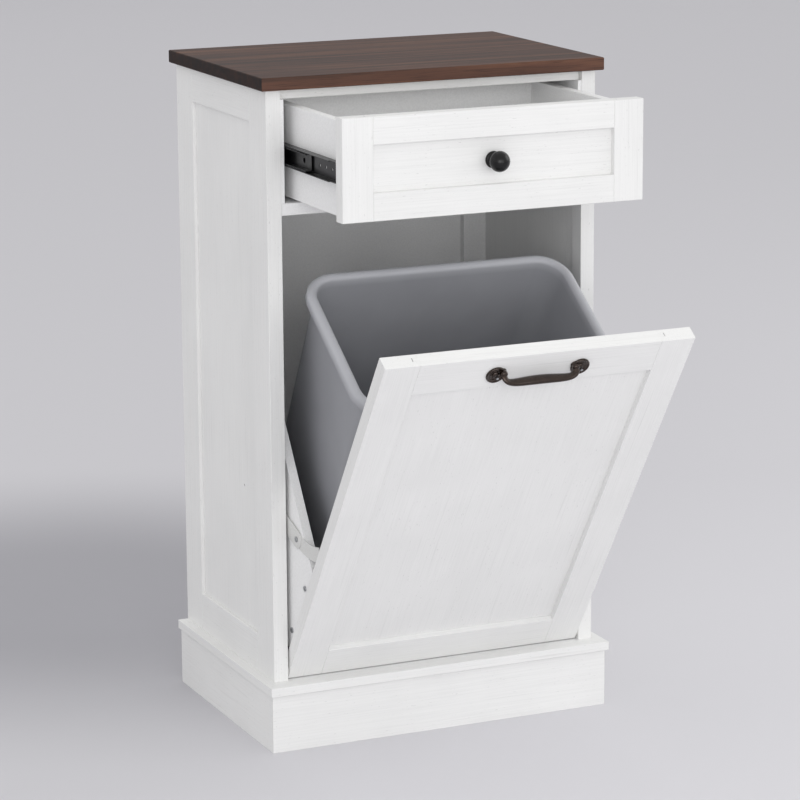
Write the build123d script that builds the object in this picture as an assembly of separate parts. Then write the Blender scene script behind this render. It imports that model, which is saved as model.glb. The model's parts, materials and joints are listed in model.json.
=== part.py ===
from build123d import *
from math import atan2, cos, hypot, pi, radians, sin
import os

# Sizes are in millimetres and angles in degrees, and each is written once, here.
# X runs across the front, Y from front to back and Z up from the floor.
# The cabinet is built shut, with Y = 0 at the front faces of its front stiles.

# Carcass
overall_height = 900.0
body_width = 474.0
body_depth = 328.0
side_thickness = 15.0
front_lip_thickness = 5.0
front_lip_depth = 26.0
side_stile_width = 60.0
side_top_rail_width = 47.0
side_bottom_rail_top = 143.5
side_bottom_rail_lift = 30.0
side_recess = 5.0
arris = 0.6

# Top slab
top_thickness = 17.0
top_side_overhang = 8.5
top_front_overhang = 9.0
top_back_overhang = 5.0
top_arris = 1.0

# Base
cap_top_height = 91.5
cap_thickness = 12.5
cap_side_overhang = 14.5
cap_front_overhang = 25.5
plinth_side_thickness = 11.0
plinth_front_overhang = 20.0
plinth_front_thickness = 15.0
plinth_back_setback = 2.0

# Boards inside the carcass
bottom_thickness = 16.0
shelf_thickness = 16.0
shelf_setback = 1.0
drawer_bay_height = 135.0
rail_thickness = 13.0
rail_width = 60.0
rail_setback = 8.0
back_thickness = 4.0
back_groove_depth = 6.0
back_setback = 4.0
batten_width = 34.0
batten_thickness = 12.0
spacer_reach = 5.0
spacer_length = 293.0
stop_rail_thickness = 18.0
stop_rail_inset = 20.0

# Frame-and-panel joints
groove_depth = 8.0
groove_play = 0.4

# Drawer
drawer_open = 186.0
drawer_side_gap = 1.5
drawer_top_gap = 1.5
drawer_bottom_gap = 2.0
drawer_front_thickness = 20.0
drawer_stile_width = 42.0
drawer_rail_width = 35.5
drawer_recess = 8.0
drawer_panel_thickness = 6.0
drawer_board = 12.0
drawer_depth = 270.0
drawer_side_height = 121.0
drawer_side_lift = 3.0
drawer_bottom_thickness = 4.0
drawer_bottom_lift = 10.0
drawer_groove = 6.0

# Ball-bearing slides
slide_thickness = 12.7
slide_height = 27.0
slide_length = 250.0
slide_sheet = 1.0
slide_corner = 0.9
slide_setback = 5.0
slide_rise = 62.0
flange_setback = 1.5
flange_gap = 1.4
flange_notch_length = 20.0
flange_notch_depth = 3.0
ball_radius = 1.0
cage_sheet = 0.5
cage_play = 0.35
cage_length = 84.0
cage_balls = 4
outer_ball_place = 5.6
inner_ball_place = 8.2
slide_hole_radius = 2.2
slide_first_hole = 30.5
slide_hole_pitch = 20.0
release_hole_radius = 4.0
release_hole_place = 24.0

# Knob
knob_radius = 13.5
knob_widest = 18.5
knob_head_start = 10.0
knob_neck_radius = 6.0
knob_base_radius = 11.0
knob_base_thickness = 2.5
knob_screw_length = 22.0
knob_steps = 4
turned_sides = 20

# Door
door_tilt = 34.0
door_height = 590.0
door_thickness = 20.0
door_side_gap = 2.0
door_bottom_gap = 3.5
door_foot_radius = 3.0
door_stile_width = 48.0
door_top_rail_width = 52.0
door_bottom_rail_width = 50.0
door_recess = 8.0
door_panel_thickness = 6.0

# Pivots
pin_radius = 4.0
pin_depth = 20.0
pin_reach = 14.0
pin_end_gap = 0.5
bush_wall = 2.0
bush_end_wall = 0.6
bush_flange_radius = 9.0
bush_flange_thickness = 1.3
running_clearance = 0.05
press_clearance = 0.02

# Tilt-out carrier behind the door
carrier_inset = 3.0
carrier_lift = 30.0
side_board_thickness = 12.0
side_board_front_top = 185.0
side_board_back_top = 300.0
carrier_back_inset = 7.0
side_board_cut = 14.0
side_board_corner = 18.0
carrier_floor_thickness = 12.0
carrier_rail_thickness = 12.0
carrier_rail_height = 60.0
cleat_size = 20.0
cleat_length = 128.0
cleat_lift = 2.0

# Handle
handle_spacing = 117.0
handle_drop = 29.5
rosette_radius = 13.0
rosette_thickness = 3.0
rosette_dome_radius = 4.2
rosette_dome_height = 1.8
handle_root_inset = 8.0
handle_root_rise = 6.0
handle_root_radius = 3.4
handle_sag = 8.0
handle_reach_out = 16.5
handle_grip_height = 12.0
handle_grip_thickness = 7.4
handle_end_angle = 0.006
handle_sections = 10
handle_sides = 10
rosette_steps = 3

# Screws and cam locks
screw_radius = 1.9
screw_sides = 8
screw_head_radius = 3.8
screw_head_thickness = 1.6
screw_head_sides = 12
screw_slot_width = 1.0
screw_slot_depth = 0.8
screw_play = 0.1
handle_screw_bite = 8.0
cleat_screw_bite = 8.0
cleat_screw_height = 66.0
cleat_screw_pitch = 84.0
blind_end = 1.0
cam_radius = 7.5
cam_depth = 10.0
cam_inset = 24.0
cam_sides = 12
cam_slot_width = 1.8

# Restraint straps and corner bands
strap_width = 25.0
strap_thickness = 1.2
strap_end = 12.0
strap_straight = 60.0
strap_screw_back = 62.7
strap_screw_height = 189.0
strap_anchor_back = 110.0
strap_anchor_height = 337.0
band_width = 20.0
band_rise = 38.0
band_sag = 6.0
band_tab = 27.0

# Bin
bin_height = 412.0
bin_rim_width = 385.0
bin_rim_depth = 255.0
bin_rim_overhang = 11.0
bin_rim_drop = 15.0
bin_rim_edge = 4.0
bin_corner = 46.0
bin_corner_steps = 4
bin_foot_edge = 5.0
bin_taper = 2.7
bin_wall = 2.6
bin_front_gap = 32.0
seat_gap = 0.3

# Places that follow from the sizes above
half_body = body_width / 2
half_inside = half_body - side_thickness
half_opening = half_inside - front_lip_thickness
body_top = overall_height - top_thickness
rail_bottom = body_top - rail_thickness
shelf_top = rail_bottom - drawer_bay_height
shelf_bottom = shelf_top - shelf_thickness
bottom_low = cap_top_height - bottom_thickness
back_face = body_depth - back_setback - back_thickness
half_door = half_opening - door_side_gap
half_spacer = half_opening - spacer_reach
half_front = half_spacer - drawer_side_gap
half_drawer = half_spacer - slide_thickness
front_low = shelf_top + drawer_bottom_gap
front_height = drawer_bay_height - drawer_top_gap - drawer_bottom_gap
knob_height = front_low + front_height / 2
slide_front = drawer_front_thickness + slide_setback
slide_level = shelf_top + slide_rise
door_low = cap_top_height + door_bottom_gap
pivot_back = door_thickness / 2
pivot_height = door_low + door_thickness / 2
half_carrier = half_door - carrier_inset
half_inner = half_carrier - side_board_thickness
carrier_low = door_low + carrier_lift
carrier_floor_top = carrier_low + carrier_floor_thickness
carrier_back = door_thickness + bin_front_gap + bin_rim_depth - carrier_back_inset
handle_height = door_low + door_height - handle_drop
strap_screw_y = door_thickness + strap_screw_back
strap_screw_z = door_low + strap_screw_height


def block(x, y, z):
    # A box between two limits on each axis.
    size = [high - low for low, high in (x, y, z)]
    middle = [(low + high) / 2 for low, high in (x, y, z)]
    return Pos(*middle) * Box(*size)


def rod(radius, x, y, z, axis="X", sides=0):
    # A bar between two limits on its axis, centred on the other two values. It is round,
    # or has that many flat sides.
    low, high = {"X": x, "Y": y, "Z": z}[axis]
    bar = extrude(RegularPolygon(radius, sides) if sides else Circle(radius), high - low)
    if axis == "X":
        return Pos(low, y, z) * Rot(0, 90, 0) * bar
    if axis == "Y":
        return Pos(x, low, z) * Rot(-90, 0, 0) * bar
    return Pos(x, y, low) * bar


def prism(corners, low, high):
    # A board of the given outline in plan, between two heights.
    return Pos(0, 0, low) * extrude(make_face(Polyline(*corners, close=True)), high - low)


def eased(part, axis, size, ends=(0,)):
    # The part with the rims of its outermost flat faces along an axis chamfered.
    for end in ends:
        part = chamfer(part.faces().sort_by(axis)[end].edges(), size)
    return part


def other_side(part):
    return mirror(part, about=Plane.YZ)


def pair(part):
    return Compound([*part.solids(), *other_side(part).solids()])


def screw(length):
    # A slotted pan-head screw along +X, with the underside of its head at X = 0.
    head = rod(screw_head_radius, (-screw_head_thickness, 0), 0, 0, sides=screw_head_sides)
    slot = block(
        (-screw_head_thickness, screw_slot_depth - screw_head_thickness),
        (-screw_head_radius, screw_head_radius), (-screw_slot_width / 2, screw_slot_width / 2),
    )
    return head - slot + rod(screw_radius, (0, length), 0, 0, sides=screw_sides)


def screw_bore(x, y, z, axis="X"):
    # The hollow that a screw's shank runs in.
    return rod(screw_radius + screw_play, x, y, z, axis, screw_sides)


def turned(profile, steps):
    # A turned piece about Z with flat sides. Its profile is a run of edges in the XY plane
    # from the axis to the foot, read as radius and height, with curves in straight steps.
    points = []
    for edge in profile:
        count = 1 if edge.geom_type == GeomType.LINE else steps
        points += [edge @ (step / count) for step in range(count)]
    points.append(profile[-1] @ 1)
    half = [(point.X, point.Y) for point in points]
    outline = half + [(-radius, height) for radius, height in reversed(half[1:])]
    face = make_face(Polyline(*outline, close=True))
    slab = extrude(Plane.XZ * face, max(half)[0] / cos(pi / turned_sides), both=True)
    whole = slab
    for side in range(1, turned_sides // 2):
        whole &= Rot(0, 0, 360 * side / turned_sides) * slab
    return whole


def rearward_screw(length, x, y, z):
    # A screw driven forwards, its head bearing on a face that looks to the back.
    return Pos(x, y, z) * Rot(0, 0, -90) * screw(length)


def framed_panel(width, height, thickness, stile, top_rail, bottom_rail, recess, panel, lift=0):
    # Two stiles, two rails with tongues and a panel that sits in their grooves.
    # The front face is at Y = 0, the bottom at Z = 0 and the middle at X = 0.
    half = width / 2
    inner = half - stile
    high = height - top_rail
    reach = groove_depth - groove_play
    body = (0, thickness)
    groove = (recess, recess + panel)
    left = block((-half, -inner), body, (0, height))
    left -= block((-inner - groove_depth, -inner), groove, (0, height))
    top = block((-inner, inner), body, (high, height))
    top -= block((-inner, inner), groove, (high, high + groove_depth))
    bottom = block((-inner, inner), body, (lift, bottom_rail))
    bottom -= block((-inner, inner), groove, (bottom_rail - groove_depth, bottom_rail))
    left = eased(left, Axis.Y, arris)
    top = eased(top, Axis.Y, arris)
    bottom = eased(bottom, Axis.Y, arris)
    across = (-inner - reach, inner + reach)
    top += block(across, groove, (high + groove_depth, height))
    bottom += block(across, groove, (lift, bottom_rail - groove_depth))
    centre = block(across, groove, (bottom_rail - reach, high + reach))
    return {"left_stile": left, "right_stile": other_side(left), "top_rail": top,
            "bottom_rail": bottom, "panel": centre}


def side_frames():
    # The left side is a frame and panel stood on edge, its panel flush on the inside.
    frame = framed_panel(
        body_depth, body_top, side_thickness, side_stile_width, side_top_rail_width,
        side_bottom_rail_top, side_recess, side_thickness - side_recess, side_bottom_rail_lift,
    )
    place = Pos(-half_body, body_depth / 2, 0) * Rot(0, 0, -90)
    front = place * frame["right_stile"]
    front += block((-half_inside, -half_opening), (0, front_lip_depth), (0, body_top))
    front -= bush_bore()
    rear = place * frame["left_stile"]
    rear -= block(
        (-half_inside - back_groove_depth, -half_inside),
        (back_face, back_face + back_thickness), (0, body_top),
    )
    panel = place * frame["panel"]
    panel -= screw_bore((-half_body, -half_inside), strap_anchor_back, strap_anchor_height)
    left = {
        "front_stile": front,
        "rear_stile": rear,
        "side_top_rail": place * frame["top_rail"],
        "side_bottom_rail": place * frame["bottom_rail"],
        "side_panel": panel,
    }
    pieces = {}
    for name, part in left.items():
        pieces["left_" + name] = part
        pieces["right_" + name] = other_side(part)
    return pieces


def top_slab():
    half = half_body + top_side_overhang
    slab = block(
        (-half, half), (-top_front_overhang, body_depth + top_back_overhang),
        (body_top, overall_height),
    )
    return {"top_panel": eased(slab, Axis.Z, top_arris, (0, -1))}


def base():
    # Cap mouldings and plinth boards, mitred at the two front corners.
    cap = half_body + cap_side_overhang
    skirt = half_body + plinth_side_thickness
    cap_low = cap_top_height - cap_thickness
    cap_front = -cap_front_overhang
    skirt_front = -plinth_front_overhang
    skirt_inner = skirt_front + plinth_front_thickness
    skirt_back = body_depth - plinth_back_setback
    front = prism(
        [(-cap, cap_front), (cap, cap_front), (half_body, 0), (-half_body, 0)],
        cap_low, cap_top_height,
    )
    left = prism(
        [(-cap, cap_front), (-half_body, 0), (-half_body, body_depth), (-cap, body_depth)],
        cap_low, cap_top_height,
    )
    front = chamfer(front.faces().sort_by(Axis.Y)[0].edges().filter_by(Axis.X), arris)
    left = chamfer(left.faces().sort_by(Axis.X)[0].edges().filter_by(Axis.Y), arris)
    board = prism(
        [(-skirt, skirt_front), (skirt, skirt_front), (half_body, skirt_inner),
         (-half_body, skirt_inner)],
        0, cap_low,
    )
    side = prism(
        [(-skirt, skirt_front), (-half_body, skirt_inner), (-half_body, skirt_back),
         (-skirt, skirt_back)],
        0, cap_low,
    )
    return {
        "cap_front": front, "cap_left": left, "cap_right": other_side(left),
        "plinth_front": board, "plinth_left": side, "plinth_right": other_side(side),
    }


def notched_board(front, low, high):
    # A level board between the side frames, cut round the lips of the front stiles.
    board = block((-half_inside, half_inside), (front, back_face), (low, high))
    notch = block((-half_inside, -half_opening), (front, front_lip_depth), (low, high))
    return board - notch - other_side(notch)


def cam_places():
    # Each left cam lock's place in plan and the underside of the board it sits in.
    near = front_lip_depth + cam_inset
    far = back_face - cam_inset
    middle = rail_width / 2
    x = -half_inside + cam_inset
    return [
        (x, near, bottom_low), (x, far, bottom_low), (x, near, shelf_bottom),
        (x, far, shelf_bottom), (x, rail_setback + middle, rail_bottom),
        (x, back_face - middle, rail_bottom),
    ]


def cam_hollows():
    hollows = []
    for x, y, low in cam_places():
        depth = (low, low + cam_depth + press_clearance)
        hollow = rod(cam_radius + press_clearance, x, y, depth, "Z", cam_sides)
        hollows += [hollow, other_side(hollow)]
    return hollows


def cam_locks():
    # Locks, nearly round, with a slot that opens downwards.
    disc = extrude(RegularPolygon(cam_radius, cam_sides), cam_depth)
    half_long, half_wide = cam_radius / 2, cam_slot_width / 2
    disc -= block((-half_long, half_long), (-half_wide, half_wide), (0, cam_slot_width))
    locks = [Pos(*place) * disc for place in cam_places()]
    return Compound([solid for lock in locks for solid in pair(lock).solids()])


def inside_boards():
    shelf = eased(notched_board(shelf_setback, shelf_bottom, shelf_top), Axis.Y, arris)
    bottom = notched_board(0, bottom_low, cap_top_height)
    top_front = block(
        (-half_opening, half_opening), (rail_setback, rail_setback + rail_width),
        (rail_bottom, body_top),
    )
    top_back = block(
        (-half_inside, half_inside), (back_face - rail_width, back_face), (rail_bottom, body_top)
    )
    boards = {
        "drawer_shelf": shelf, "bottom_panel": bottom,
        "top_front_rail": top_front, "top_back_rail": top_back,
    }
    for name in boards:
        for hollow in cam_hollows():
            boards[name] -= hollow
    half_back = half_inside + back_groove_depth - groove_play
    batten = block(
        (-half_inside, -half_inside + batten_width), (back_face - batten_thickness, back_face),
        (cap_top_height, shelf_bottom),
    )
    bay = (shelf_top, rail_bottom)
    spacer = block((-half_inside, -half_spacer), (shelf_setback, shelf_setback + spacer_length), bay)
    spacer -= block((-half_inside, -half_opening), (shelf_setback, front_lip_depth), bay)
    stop_back = carrier_back - stop_rail_inset
    return boards | {
        "back_panel": block(
            (-half_back, half_back), (back_face, back_face + back_thickness), (bottom_low, body_top)
        ),
        "back_battens": pair(batten),
        "slide_spacers": pair(spacer),
        "stop_rail": block(
            (-half_carrier, half_carrier), (stop_back - stop_rail_thickness, stop_back),
            (cap_top_height, carrier_low - seat_gap),
        ),
    }


def channel(web, tip, height, sheet, corner):
    # A C section: the web's outer face is at X = web and its two flanges end at X = tip.
    middle, depth = (web + tip) / 2, abs(web - tip)
    way = 1 if tip > web else -1
    outer = Pos(middle, 0) * Rectangle(depth, height)
    if corner:
        across = outer.vertices().sort_by(Axis.X)
        outer = fillet(across[:2] if way > 0 else across[-2:], corner)
    return outer - Pos(middle + way * sheet, 0) * Rectangle(depth, height - 2 * sheet)


def slide_rows():
    # The section of each slide member and, between them, the two rows of balls.
    # X runs from the drawer's side to the packing board and Y up from the middle.
    tip = slide_thickness - flange_setback
    outer_inside = slide_height / 2 - slide_sheet
    middle_outside = outer_inside - flange_gap
    middle_inside = middle_outside - slide_sheet
    inner_outside = middle_inside - flange_gap
    step = slide_sheet + cage_sheet + 2 * cage_play
    outer_row = (outer_ball_place, (outer_inside + middle_outside) / 2)
    inner_row = (inner_ball_place, (middle_inside + inner_outside) / 2)
    outer = channel(0, tip, slide_height, slide_sheet, slide_corner)
    middle = channel(step, tip, 2 * middle_outside, slide_sheet, slide_corner)
    inner = channel(slide_thickness, 2 * step, 2 * inner_outside, slide_sheet, slide_corner)
    track = Circle(ball_radius + running_clearance)
    for way in (1, -1):
        outer -= Pos(outer_row[0], way * outer_row[1]) * track
        middle -= Pos(outer_row[0], way * outer_row[1]) * track
        middle -= Pos(inner_row[0], way * inner_row[1]) * track
        inner -= Pos(inner_row[0], way * inner_row[1]) * track
    outer_cage = (slide_sheet + cage_play, outer_row)
    inner_cage = (step + slide_sheet + cage_play, inner_row)
    return outer, middle, inner, outer_cage, inner_cage


def slide_member(section, holes, notch=0):
    # The section run along Y from the slide's front end, with holes through its web
    # and, where a length is given, the tips of its flanges cut back from that end.
    bar = extrude(Plane.XZ * section, -slide_length)
    for place, radius in holes:
        bar -= rod(radius, (0, slide_thickness), place, 0, sides=screw_sides)
    if notch:
        tip = slide_thickness - flange_setback
        bar -= block((tip - flange_notch_depth, tip), (0, notch), (-slide_height, slide_height))
    return pair(Pos(half_drawer, slide_front, slide_level) * bar)


def ball():
    # A ball drawn with 26 flat faces that lie within its true radius.
    width = 2 * ball_radius * (1 + 2 ** 0.5) / (5 + 2 * 2 ** 0.5) ** 0.5
    cube = Box(width, width, width)
    return chamfer(cube.edges(), width * (1 - 1 / (1 + 2 ** 0.5)) / 2)


def ball_cage(web, row):
    # A folded strip that carries a row of balls along each of its two arms.
    place, level = row
    half = cage_sheet / 2
    strip = channel(web, place + 2 * ball_radius, 2 * (level + half), cage_sheet, 0)
    cage = extrude(Plane.XZ * strip, -cage_length)
    pitch = cage_length / cage_balls
    single = ball()
    cage += [
        Pos(place, (step + 0.5) * pitch, way * level) * single
        for step in range(cage_balls) for way in (1, -1)
    ]
    start = slide_front + (slide_length - cage_length) / 2
    return pair(Pos(half_drawer, start, slide_level) * cage)


def slides():
    # The outer members ride with the drawer and open outwards, the inner ones stay on
    # the packing boards, and the middle members and the two sets of balls run between.
    outer, middle, inner, outer_cage, inner_cage = slide_rows()
    ends = [(slide_first_hole / 2, slide_hole_radius),
            (slide_length - slide_hole_pitch, slide_hole_radius)]
    row = [(slide_first_hole + step * slide_hole_pitch, slide_hole_radius) for step in range(3)]
    return (
        {"slide_inner_members": slide_member(inner, ends)},
        {"slide_inner_cages": ball_cage(*inner_cage)},
        {"slide_middle_members": slide_member(middle, [(release_hole_place, release_hole_radius)])},
        {"slide_outer_cages": ball_cage(*outer_cage)},
        {"slide_outer_members": slide_member(outer, row + ends[1:], flange_notch_length)},
    )


def drawer():
    frame = framed_panel(
        2 * half_front, front_height, drawer_front_thickness, drawer_stile_width,
        drawer_rail_width, drawer_rail_width, drawer_recess, drawer_panel_thickness,
    )
    place = Pos(0, 0, front_low)
    pieces = {"drawer_" + name: place * part for name, part in frame.items()}
    pieces["drawer_panel"] -= knob_hole()
    low = front_low + drawer_side_lift
    high = low + drawer_side_height
    floor = (low + drawer_bottom_lift, low + drawer_bottom_lift + drawer_bottom_thickness)
    front = drawer_front_thickness
    back = front + drawer_depth
    inner = half_drawer - drawer_board
    side = block((-half_drawer, -inner), (front, back), (low, high))
    side -= block((-inner - drawer_groove, -inner), (front, back), floor)
    side = chamfer(side.faces().sort_by(Axis.Z)[-1].edges().filter_by(Axis.Y), arris)
    half_floor = inner + drawer_groove - groove_play
    return pieces | {
        "drawer_left_side": side,
        "drawer_right_side": other_side(side),
        "drawer_back": block((-inner, inner), (back - drawer_board, back), (floor[1], high)),
        "drawer_bottom": block((-half_floor, half_floor), (front, back), floor),
        "drawer_knob": knob(),
        "knob_screw": rearward_screw(
            knob_screw_length, 0, drawer_recess + drawer_panel_thickness, knob_height
        ),
    }


def knob_hole():
    seat = drawer_recess + drawer_panel_thickness
    along = (seat - knob_screw_length - blind_end, seat)
    return screw_bore(0, along, knob_height, "Y")


def knob():
    # A round head, a hollow neck and a flat base on the front panel.
    top = (0, knob_widest + knob_radius)
    widest = (knob_radius, knob_widest)
    neck = (knob_neck_radius, knob_head_start)
    base_edge = (knob_base_radius, knob_base_thickness)
    profile = [
        TangentArc(top, widest, tangent=(1, 0)),
        TangentArc(widest, neck, tangent=(0, -1)),
        TangentArc(neck, base_edge, tangent=(0, -1)),
        Line(base_edge, (knob_base_radius, 0)),
    ]
    place = Pos(0, drawer_recess, knob_height) * Rot(90, 0, 0)
    return place * turned(profile, knob_steps) - knob_hole()


def door_blank():
    # The door as one plain board, its lower front edge rounded to clear the base.
    blank = block(
        (-half_door, half_door), (0, door_thickness), (door_low, door_low + door_height)
    )
    front = blank.faces().sort_by(Axis.Y)[0]
    return fillet(front.edges().sort_by(Axis.Z)[0], door_foot_radius)


def handle_hole():
    along = (-handle_screw_bite - blind_end, door_thickness)
    return screw_bore(-handle_spacing / 2, along, handle_height, "Y")


def door():
    frame = framed_panel(
        2 * half_door, door_height, door_thickness, door_stile_width,
        door_top_rail_width, door_bottom_rail_width, door_recess, door_panel_thickness,
    )
    pieces = {"door_" + name: Pos(0, 0, door_low) * part for name, part in frame.items()}
    seat = (-half_door, -half_door + pin_depth + press_clearance)
    left = pieces["door_left_stile"] & door_blank()
    left -= rod(pin_radius + press_clearance, seat, pivot_back, pivot_height)
    left -= band_tab_hole()
    pieces["door_left_stile"] = left
    pieces["door_right_stile"] = other_side(left)
    pieces["door_bottom_rail"] = pieces["door_bottom_rail"] & door_blank()
    pieces["door_top_rail"] -= handle_hole() + other_side(handle_hole())
    return pieces


def rosette():
    # A disc with a rounded rim, dished towards a small dome at its centre.
    edge = rosette_thickness / 2
    foot = (rosette_dome_radius, edge)
    crest = (rosette_radius - edge, rosette_thickness)
    face = Line((0, rosette_thickness), crest)
    rim = ThreePointArc(crest, (rosette_radius - edge * 0.3, edge), (rosette_radius, 0))
    swell = ThreePointArc(
        (0, edge + rosette_dome_height), (foot[0] * 0.6, edge + rosette_dome_height * 0.7), foot
    )
    disc = turned([face, rim], rosette_steps) - turned([face, Line(crest, foot)], 1)
    disc += turned([swell, Line(foot, (rosette_dome_radius, 0))], rosette_steps)
    return Pos(-handle_spacing / 2, 0, handle_height) * Rot(90, 0, 0) * disc


def handle():
    # A bow that leaves the upper inner parts of its rosettes and swells towards its middle.
    reach = handle_spacing / 2 - handle_root_inset
    sections = []
    for step in range(handle_sections):
        share = (1 - cos(pi * step / (handle_sections - 1))) / 2
        angle = handle_end_angle + (pi - 2 * handle_end_angle) * share
        bow, swell = sin(angle) ** 0.5, sin(angle) ** 2
        slope = 0.5 * cos(angle) / sin(angle) ** 0.5
        place = (
            -reach * cos(angle), -handle_reach_out * bow,
            handle_height + handle_root_rise - handle_sag * bow,
        )
        heading = (reach * sin(angle), -handle_reach_out * slope, -handle_sag * slope)
        tall = handle_root_radius + (handle_grip_height / 2 - handle_root_radius) * swell
        thick = handle_root_radius + (handle_grip_thickness / 2 - handle_root_radius) * swell
        plane = Plane(place, x_dir=(heading[1], -heading[0], 0), z_dir=heading)
        turns = [2 * pi * side / handle_sides for side in range(handle_sides)]
        rim = [(thick * cos(turn), tall * sin(turn)) for turn in turns]
        sections.append(plane * make_face(Polyline(*rim, close=True)))
    bow = loft(sections, ruled=True) & block((-half_body, half_body), (-body_depth, 0), (0, body_top))
    left = rosette()
    whole = bow + left + other_side(left)
    return whole - handle_hole() - other_side(handle_hole())


def side_board():
    # The left side board: its top edge climbs to the back, its lower front corner is cut.
    front = door_thickness
    outline = make_face(Polyline(
        (front, carrier_low + side_board_cut), (front + side_board_cut, carrier_low),
        (carrier_back, carrier_low), (carrier_back, door_low + side_board_back_top),
        (front, door_low + side_board_front_top), close=True,
    ))
    outline = fillet(outline.vertices().group_by(Axis.X)[-1], side_board_corner)
    return Pos(-half_carrier, 0, 0) * extrude(Plane.YZ * outline, side_board_thickness)


def board_screw_places():
    # Screws through the side board into its cleat, as back and height.
    low = door_low + cleat_screw_height
    back = door_thickness + cleat_size / 2
    return [(back, low), (back, low + cleat_screw_pitch)]


def corner_band():
    # A strip that sweeps from under the strap's screw up to a tab on the door's back.
    outer = -half_carrier - strap_thickness
    end_z = strap_screw_z + band_rise
    middle = (
        (strap_screw_y + door_thickness) / 2, (strap_screw_z + end_z) / 2 - band_sag
    )
    route = ThreePointArc((strap_screw_y, strap_screw_z), middle, (door_thickness, end_z))
    strip = trace(route, band_width) + Pos(strap_screw_y, strap_screw_z) * Circle(band_width / 2)
    arm = Pos(outer, 0, 0) * extrude(Plane.YZ * strip, strap_thickness)
    level = (end_z - band_width / 2, end_z + band_width / 2)
    behind = (door_thickness, door_thickness + strap_thickness)
    arm &= block((outer, -half_carrier), (door_thickness, body_depth), (0, body_top))
    tab = block((outer, -half_carrier + band_tab), behind, level)
    return arm + tab - band_tab_hole() - strap_screw_hole()


def band_tab_hole():
    along = (door_thickness - cleat_screw_bite - blind_end, door_thickness + strap_thickness)
    return screw_bore(*band_tab_place(along), "Y")


def band_tab_place(along):
    return -half_carrier + band_tab / 2, along, strap_screw_z + band_rise


def strap_screw_hole():
    # From outside the strap and the band into the side board, which it doesn't pass.
    along = (-half_carrier - 2 * strap_thickness, -half_inner - blind_end)
    return screw_bore(along, strap_screw_y, strap_screw_z)


def tilt_screws():
    # The screws of the cleats, the straps, the bands' tabs and the handle.
    screws = []
    length = side_board_thickness + cleat_screw_bite
    for back, height in board_screw_places():
        screws.append(Pos(-half_carrier, back, height) * screw(length))
    length = 2 * strap_thickness + side_board_thickness - 2 * blind_end
    place = Pos(-half_carrier - 2 * strap_thickness, strap_screw_y, strap_screw_z)
    screws.append(place * screw(length))
    tab = band_tab_place(door_thickness + strap_thickness)
    screws.append(rearward_screw(strap_thickness + cleat_screw_bite, *tab))
    screws.append(rearward_screw(
        door_thickness + handle_screw_bite, -handle_spacing / 2, door_thickness, handle_height
    ))
    return Compound([solid for part in screws for solid in pair(part).solids()])


def carrier():
    # The tray behind the door that the bin stands in.
    front = door_thickness
    board = side_board() - strap_screw_hole()
    low = carrier_floor_top + cleat_lift
    cleat = block(
        (-half_inner, -half_inner + cleat_size), (front, front + cleat_size),
        (low, low + cleat_length),
    )
    end = -half_inner + cleat_screw_bite + screw_play
    for back, height in board_screw_places():
        hole = screw_bore((-half_carrier, end), back, height)
        board -= hole
        cleat -= hole
    return {
        "carrier_left_side": board,
        "carrier_right_side": other_side(board),
        "carrier_floor": block(
            (-half_inner, half_inner), (front, carrier_back), (carrier_low, carrier_floor_top)
        ),
        "carrier_back_rail": block(
            (-half_inner, half_inner), (carrier_back - carrier_rail_thickness, carrier_back),
            (carrier_floor_top, carrier_floor_top + carrier_rail_height),
        ),
        "door_cleats": pair(cleat),
        "corner_bands": pair(corner_band()),
        "tilt_screws": tilt_screws(),
        "door_handle": handle(),
        "pivot_pins": pair(rod(
            pin_radius, (-half_opening - pin_reach, -half_door + pin_depth),
            pivot_back, pivot_height,
        )),
    }


def bush_bore():
    deep = (-half_opening - pin_reach - pin_end_gap - bush_end_wall, -half_opening)
    radius = pin_radius + running_clearance + bush_wall + press_clearance
    return rod(radius, deep, pivot_back, pivot_height)


def pivot_bushes():
    # Flanged bushes, closed at their outer ends, in blind bores of the front stiles.
    end = -half_opening - pin_reach - pin_end_gap
    inner = pin_radius + running_clearance
    face = -half_opening + bush_flange_thickness
    bush = rod(inner + bush_wall, (end - bush_end_wall, -half_opening), pivot_back, pivot_height)
    bush += rod(
        bush_flange_radius, (-half_opening, face), pivot_back, pivot_height, sides=turned_sides
    )
    return pair(bush - rod(inner, (end, face), pivot_back, pivot_height))


def strap_run():
    # The taut strap's start, its angle above level and the distance between its screws.
    turn = radians(door_tilt)
    back, height = strap_screw_y - pivot_back, strap_screw_z - pivot_height
    start_y = pivot_back + back * cos(turn) - height * sin(turn)
    start_z = pivot_height + back * sin(turn) + height * cos(turn)
    run_y, run_z = strap_anchor_back - start_y, strap_anchor_height - start_z
    return start_y, start_z, atan2(run_z, run_y), hypot(run_y, run_z)


def restraint_straps():
    # The left strap lies on the band at its front screw and on the side at its anchor.
    start_y, start_z, rise, length = strap_run()
    near = -half_carrier - strap_thickness
    far = -half_inside + strap_thickness
    inner_line = [(-strap_end, near), (strap_straight, near), (length - strap_end, far),
                  (length + strap_end, far)]
    outer_line = [(along, across - strap_thickness) for along, across in reversed(inner_line)]
    band = extrude(
        make_face(Polyline(*inner_line, *outer_line, close=True)), strap_width / 2, both=True
    )
    rounded = Pos(length / 2, 0) * SlotCenterToCenter(length, strap_width)
    hole = RegularPolygon(screw_radius + screw_play, screw_sides, major_radius=False)
    rounded = rounded - hole - Pos(length, 0) * hole
    band &= extrude(Plane.XZ * rounded, body_width, both=True)
    along = (0, cos(rise), sin(rise))
    across = (0, sin(rise), -cos(rise))
    return pair(Plane((0, start_y, start_z), x_dir=along, z_dir=across) * band)


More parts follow.
